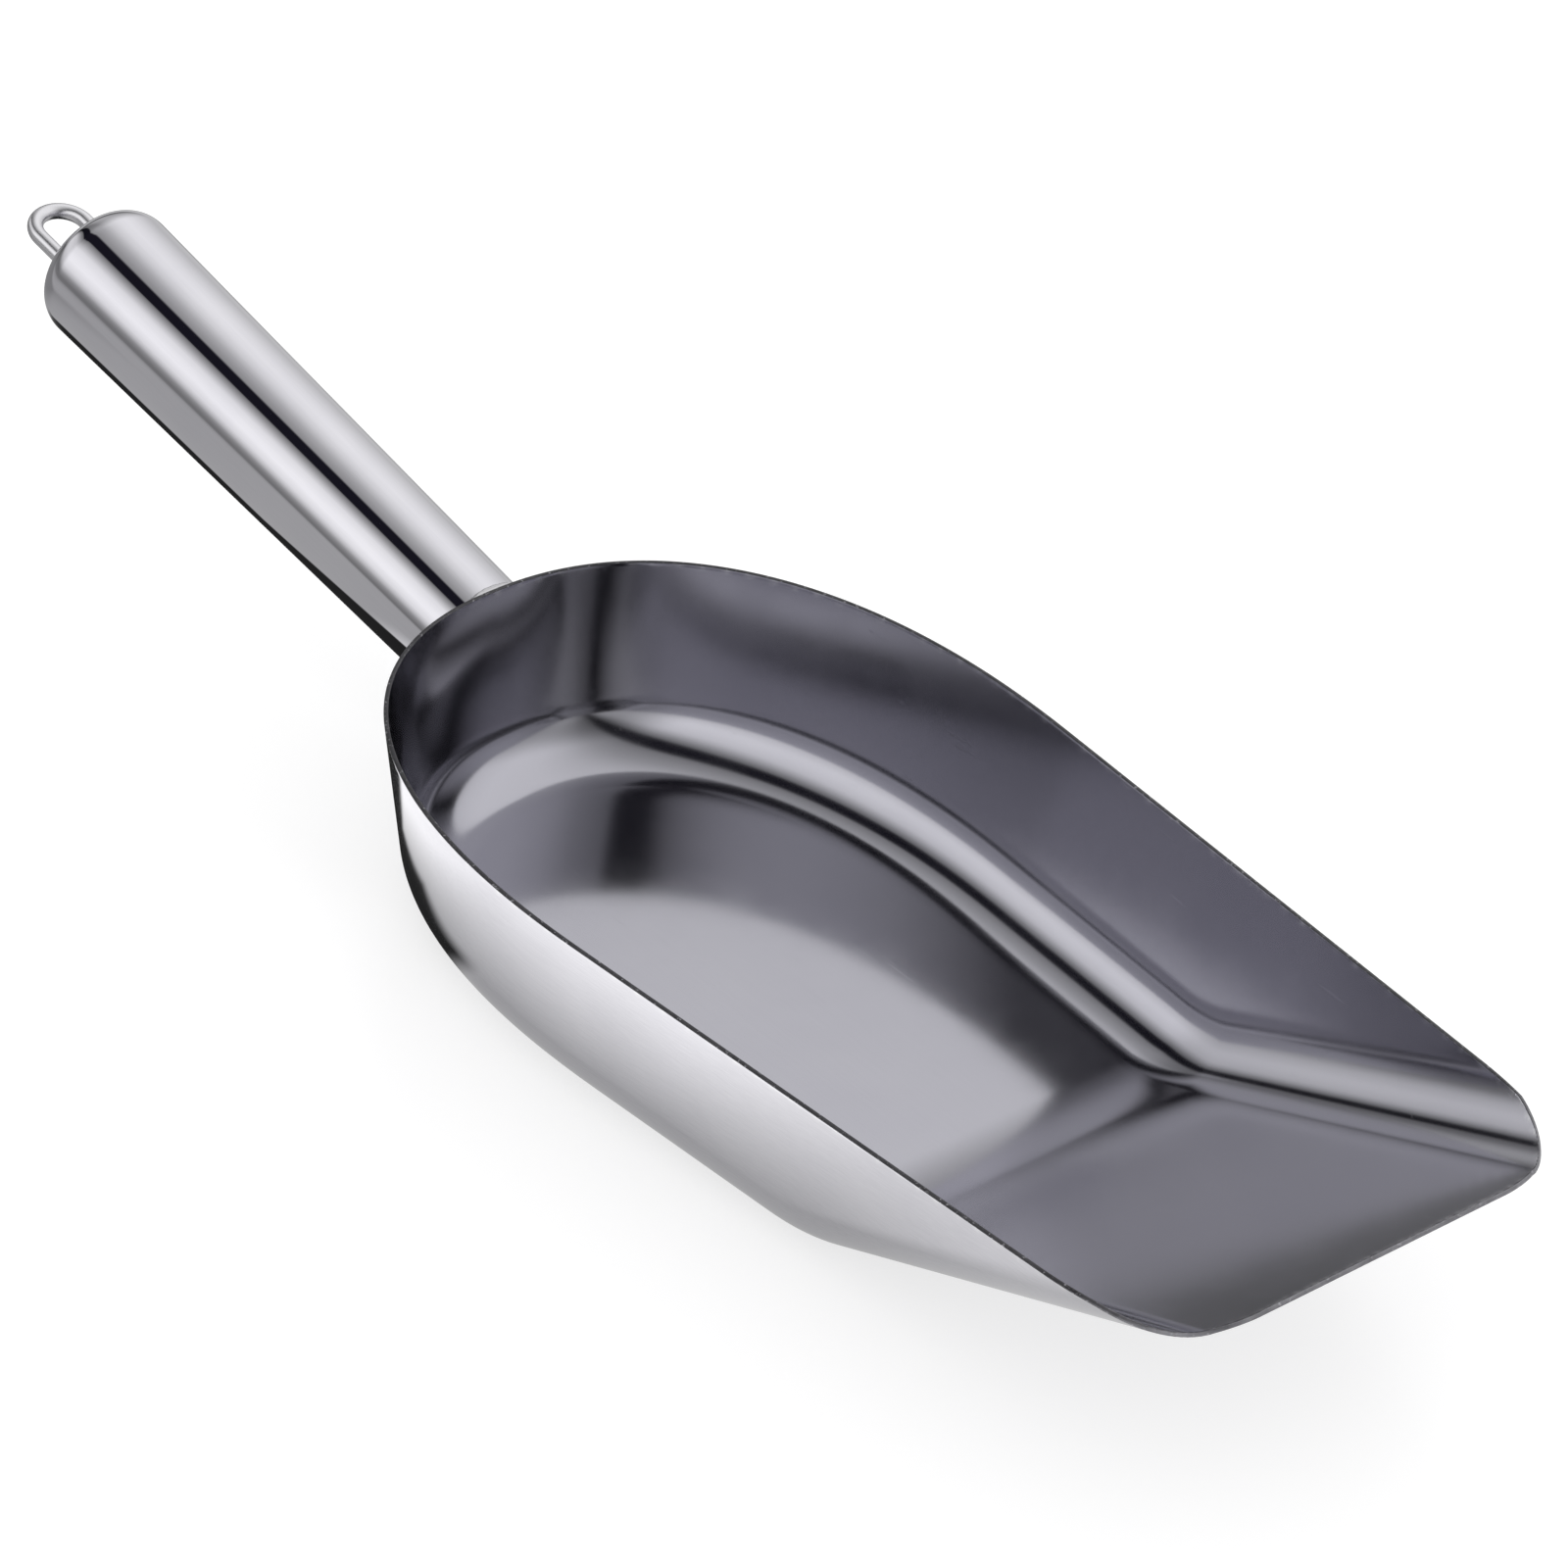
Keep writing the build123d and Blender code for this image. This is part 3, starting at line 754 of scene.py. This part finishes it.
# ------------------------------------------------------------------ neck weld
def build_neck_weld():
    """Rippled bead round the tube's foot."""
    around, across = 360, 14
    leg, ripples, hollow = 1.55, 44, 0.20
    root_in_tube, root_in_wall = 0.30, 0.25     # the bead's hidden root
    toe_sink = 0.05                             # its toes dip into both surfaces
    probes = np.eye(3) * 0.05
    points = []
    for j in range(around):
        angle = 2 * math.pi * j / around
        s = foot(angle)
        corner = turned_point(s, radius_at(s), angle)
        tube_out = radial(angle)
        # wall normal from the gap's gradient
        wall_out = np.array([wall_gap(corner + p) - wall_gap(corner - p) for p in probes])
        wall_out /= np.linalg.norm(wall_out)
        up_wall = tube_out - wall_out * (tube_out @ wall_out)
        up_wall /= np.linalg.norm(up_wall)
        phase = (j / around * ripples) % 1.0
        ripple = 1.0 + 0.055 * math.sqrt(max(1 - (2 * phase - 1) ** 2, 0)) - 0.03
        points.append(corner - tube_out * root_in_tube - wall_out * root_in_wall)
        for k in range(across):
            b = math.pi / 2 * k / (across - 1)
            reach = leg * (1.0 - hollow * math.sin(2 * b)) * ripple
            points.append(corner + (up_wall * math.cos(b) + AXIS * math.sin(b)) * reach
                          - tube_out * toe_sink * math.sin(b)
                          - wall_out * toe_sink * math.cos(b))
    # dressed level just below the rim at the top
    for point in points:
        point[2] = min(point[2], RIM_Z - 0.1)
    faces = grid_faces(around, across + 1, wrap_rows=True, wrap_cols=True)
    ob = make_shell("neck_weld_bead", points, faces, [weld_steel])
    hand_over(ob, "neck_weld")


# ------------------------------------------------------------------ room
# brightness round the X axis: (degrees from overhead, positive towards +Y; level)
ROOM_LEVELS = [
    (-180, .30), (-104, .14), (-90, .165), (-86, .215), (-83, .285), (-78, .50),
    (-72, .70), (-60, .847), (-53, .825), (-41, .72), (-35, .52), (-29, .305),
    (-25, .195), (-24, .175), (-23.4, .008), (-8.8, .008), (-8.0, .24), (-3, .28),
    (7, .386), (19, .59), (31, .716), (43, .753), (55, .700), (67, .615),
    (79, .535), (91, .480), (103, .440), (127, .40), (180, .30)]
GAP_LEVEL = 0.01            # levels up to this are the overhead gap, tinted blue


def room_colour(level):
    return (level,) * 3 if level > GAP_LEVEL else (level, level * 0.93, level * 1.5)


def build_world():
    """White room; glossy rays see soft boxes with a dark gap overhead instead."""
    world = bpy.data.worlds.new("studio")
    bpy.context.scene.world = world
    nodes = Nodes(world)
    # metal meets the room by its own reflection rays only
    world.cycles.sampling_method = "NONE"
    direction = nodes.add("TexCoord").outputs["Generated"]
    x, y, z = nodes.add("SeparateXYZ", {0: direction}).outputs
    op, remap = nodes.math, nodes.remap

    # the gap leans over towards the handle's end, in two steps: (x offset, amount)
    leans = [op("MULTIPLY", op("MINIMUM", op("ADD", x, offset), 0.0), amount)
             for offset, amount in ((0.52, 0.175), (0.70, 0.58))]
    angle = op("ARCTAN2", op("ADD", y, op("ADD", *leans)), z)
    stops = [((degrees + 180) / 360, room_colour(level)) for degrees, level in ROOM_LEVELS]
    colour = nodes.ramp(remap(angle, between=(-math.pi, math.pi)), stops)

    # dim towards -X, most of all low down on the +Y side, and towards +X
    unlit = remap(z, between=(0.02, 0.28), to=(0.15, 0.50), smooth=True)
    minus_x = nodes.mix(remap(x, between=(-0.84, -0.46), smooth=True), unlit, 1.0)
    plus_y_side = remap(y, between=(0.02, 0.22), smooth=True)
    near_end = remap(x, between=(-0.84, -0.62), to=(0.75, 1.0), smooth=True)
    minus_x = nodes.mix(plus_y_side, near_end, minus_x)
    plus_x = remap(x, between=(0.60, 0.95), to=(1.0, 0.45), smooth=True)
    gain = 1 / 0.69
    strength = op("MULTIPLY", op("MULTIPLY", minus_x, plus_x), gain)

    room = nodes.add("Background", {"Color": colour, "Strength": strength})
    plain = nodes.add("Background", {"Color": (1.0, 1.0, 1.0, 1), "Strength": 1.0})
    mixed = nodes.mix_by_glossy_ray(plain.outputs[0], room.outputs[0])
    nodes.add("OutputWorld", {0: mixed})


# ------------------------------------------------------------------ floor
def outline_distance(nodes, x, y):
    """Distance outside the rim's outline, along the ray from the bowl's middle."""
    op = nodes.math
    behind_spine = op("MAXIMUM", op("SUBTRACT", SPINE_X, x), 0.0)
    narrowing = op("MULTIPLY", op("ADD", x, -BACK_X), SIDE_SLOPE)
    least_half_width = 5.0
    half = op("MAXIMUM", op("SUBTRACT", BACK_WIDTH / 2, narrowing), least_half_width)
    form = op("ADD",
              op("POWER", op("DIVIDE", behind_spine, BACK_DEPTH), OUTLINE_POWER),
              op("POWER", op("DIVIDE", op("ABSOLUTE", y), half), OUTLINE_POWER))
    to_outline = op("POWER", op("MAXIMUM", form, 1e-4), -1 / OUTLINE_POWER)
    from_middle = op("SQRT", op("ADD", op("MULTIPLY", behind_spine, behind_spine),
                                op("MULTIPLY", y, y)))
    return op("MAXIMUM", op("MULTIPLY", from_middle, op("SUBTRACT", 1.0, to_outline)), 0.0)


def painted_shade_mask(nodes, x, y):
    """1 on the painted shade beneath and on the +Y side of the handle, dark where reflections
    meet it.
    """
    op, remap = nodes.math, nodes.remap
    # border: a sloping line capped at y = -11, with a 5 mm bump centred at x = -57
    line = op("MINIMUM", op("ADD", op("MULTIPLY", x, -0.34), -53.0), -11.0)
    off_bump = op("DIVIDE", op("ABSOLUTE", op("ADD", x, 57.0)), 13.0)
    bump = op("MULTIPLY", op("MAXIMUM", op("SUBTRACT", 1.0, off_bump), 0.0), 5.0)
    line = op("ADD", line, bump)
    mask = remap(op("SUBTRACT", y, line), between=(-1.3, 1.3), smooth=True)
    limits = ((x, (-28.0, -20.0), (1.0, 0.0)),      # ends towards +X
              (y, (20.0, 38.0), (1.0, 0.0)),        # towards +Y
              (x, (-196.0, -180.0), (0.0, 1.0)))    # towards -X
    for value, between, to in limits:
        mask = op("MULTIPLY", mask, remap(value, between=between, to=to, smooth=True))
    return mask


def painted_reflection_level(nodes):
    """Painted reflection: the floor's brightness as polished metal sees it, with painted shade
    near the bowl and the handle. Places are in mm.
    """
    op, remap = nodes.math, nodes.remap
    position = nodes.add("NewGeometry").outputs["Position"]
    metres = nodes.add("SeparateXYZ", {0: position}).outputs
    x, y = (op("MULTIPLY", metres[k], 1000.0) for k in range(2))

    # painted shade at the bowl's outline, brighter further out
    distance = outline_distance(nodes, x, y)
    front = remap(x, between=(50.0, 95.0), smooth=True)
    rear = remap(x, between=(-30.0, -56.0), smooth=True)
    middle_level, front_gain, rear_gain, end_gain = 0.45, 0.15, -0.06, 1.0
    ends = op("ADD", op("MULTIPLY", front, front_gain), op("MULTIPLY", rear, rear_gain))
    base = op("ADD", middle_level, op("MULTIPLY", ends, end_gain))
    towards_lip = remap(x, between=(16.0, 100.0), to=(1.0, 0.16))
    per_mm = remap(x, between=(12.0, -14.0), to=(0.054, 0.047))
    rear_per_mm, brightest = 0.027, 1.24
    rise = op("ADD", op("MULTIPLY", towards_lip, per_mm), op("MULTIPLY", rear, rear_per_mm))
    level = op("MINIMUM", op("ADD", base, op("MULTIPLY", rise, distance)), brightest)

    # painted shade: grey beside the handle, darker past its end except far out at -Y
    handle_grey = 0.455
    by_handle = remap(x, between=(-72.0, -100.0), smooth=True)
    past_end = remap(x, between=(-226.0, -180.0), to=(0.27, handle_grey), smooth=True)
    near_handle = remap(y, between=(-100.0, -62.0), smooth=True)
    level = nodes.mix(by_handle, level, nodes.mix(near_handle, handle_grey, past_end))

    # falls off far from the origin
    from_origin = op("SQRT", op("ADD", op("MULTIPLY", x, x), op("MULTIPLY", y, y)))
    far = remap(from_origin, between=(260.0, 700.0), to=(1.0, 0.50), smooth=True)
    level = op("MULTIPLY", level, far)

    back_level, dark_level = 0.63, 0.020
    back = remap(y, between=(60.0, 140.0), smooth=True)
    level = nodes.mix(back, level, back_level)
    # painted shade beneath the handle, nearly black in reflections
    return nodes.mix(painted_shade_mask(nodes, x, y), level, dark_level)


def floor_material():
    """Soft white sweep with faint shadows; glossy rays see a painted reflection instead, graded
    with painted shade near the bowl and the handle.
    """
    mat = bpy.data.materials.new("floor_pale")
    mat.cycles.emission_sampling = "NONE"
    nodes = Nodes(mat)
    white = (1, 1, 1, 1)
    diffuse = nodes.add("BsdfDiffuse", {"Color": (0.41, 0.41, 0.411, 1)})
    lift = nodes.add("Emission", {"Color": white, "Strength": 0.65})
    seen = nodes.add("AddShader", {0: diffuse.outputs[0], 1: lift.outputs[0]})
    # glossy rays see this emission: a painted reflection with painted shade
    painted_reflection_card = nodes.add("Emission", {"Color": white, "Strength": painted_reflection_level(nodes)})
    nodes.add("OutputMaterial",
              {0: nodes.mix_by_glossy_ray(seen.outputs[0], painted_reflection_card.outputs[0])})
    return mat


def build_floor():
    cells, half_size = 24, 6000.0
    steps = [-half_size + 2 * half_size * i / cells for i in range(cells + 1)]
    points = [(x, y, 0.0) for x in steps for y in steps]
    faces = grid_faces(cells + 1, cells + 1)
    make_object("floor_plane", points, faces, [floor_material()])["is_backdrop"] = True


# ------------------------------------------------------------------ light and camera
def build_key_light():
    """Soft square light on the -X +Y side, unseen by camera and reflections. Metres."""
    light = bpy.data.lights.new("key_back", "AREA")
    light.shape = "RECTANGLE"
    light.size = light.size_y = 0.45
    light.energy = 4.4
    ob = bpy.data.objects.new("key_back", light)
    bpy.context.scene.collection.objects.link(ob)
    ob.location = (-0.66, 0.70, 0.52)
    ob.rotation_euler = (-Vector(ob.location)).to_track_quat("-Z", "Y").to_euler()
    ob.visible_glossy = False
    ob.visible_camera = False


def build_camera():
    """Camera on the +X -Y side, looking down at a point on the rim plane."""
    azimuth, elevation, roll = rad(45.0), rad(35.30071), rad(6.54301)
    target = np.array([13.0, 0.0, RIM_Z])
    depth = 1367.3645                   # camera to target along the view axis, mm
    target_right = 6.3848713            # target off the view axis, mm
    target_down = 7.7566472

    backward = np.array([math.sin(azimuth) * math.cos(elevation),
                         -math.cos(azimuth) * math.cos(elevation), math.sin(elevation)])
    level_right = np.cross(-backward, [0, 0, 1.0])
    level_right /= np.linalg.norm(level_right)
    level_up = np.cross(level_right, -backward)
    right = math.cos(roll) * level_right + math.sin(roll) * level_up
    up = -math.sin(roll) * level_right + math.cos(roll) * level_up
    place = target - target_right * right + target_down * up + depth * backward

    camera = bpy.data.cameras.new("camera")
    camera.sensor_width = 36.0
    camera.sensor_fit = "HORIZONTAL"
    camera.lens = 220.4188875
    camera.clip_start, camera.clip_end = 0.05, 50.0
    ob = bpy.data.objects.new("camera", camera)
    bpy.context.scene.collection.objects.link(ob)
    matrix = Matrix.Identity(4)
    for k in range(3):
        matrix[k][:] = right[k], up[k], backward[k], place[k] * MM
    ob.matrix_world = matrix
    bpy.context.scene.camera = ob
    bpy.context.scene.view_settings.view_transform = "Standard"
    bpy.context.scene.view_settings.look = "None"


# ------------------------------------------------------------------ build
build_bowl()
build_sleeve("handle_tube_skin", "handle_tube", [foot(a) for a in ANGLES],
             [foot(a, WALL) for a in ANGLES], end=SEAM_START, row_count=56)
seam_starts = [SEAM_START] * SEGMENTS
build_sleeve("cap_seam_ring", "cap_seam_weld", seam_starts, seam_starts,
             end=SEAM_END, row_count=4)
build_cap()
build_loop()
build_neck_weld()

# the two beads inside the cap keep their CAD shape
inner_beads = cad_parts["loop_leg_welds"]
inner_beads.data.materials.clear()
inner_beads.data.materials.append(weld_steel)

build_world()
build_floor()
build_key_light()
build_camera()


def plain(bounds):
    return [[float(c) for c in corner] for corner in bounds]


{"cad": plain(cad_bounds), "visual": plain(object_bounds())}
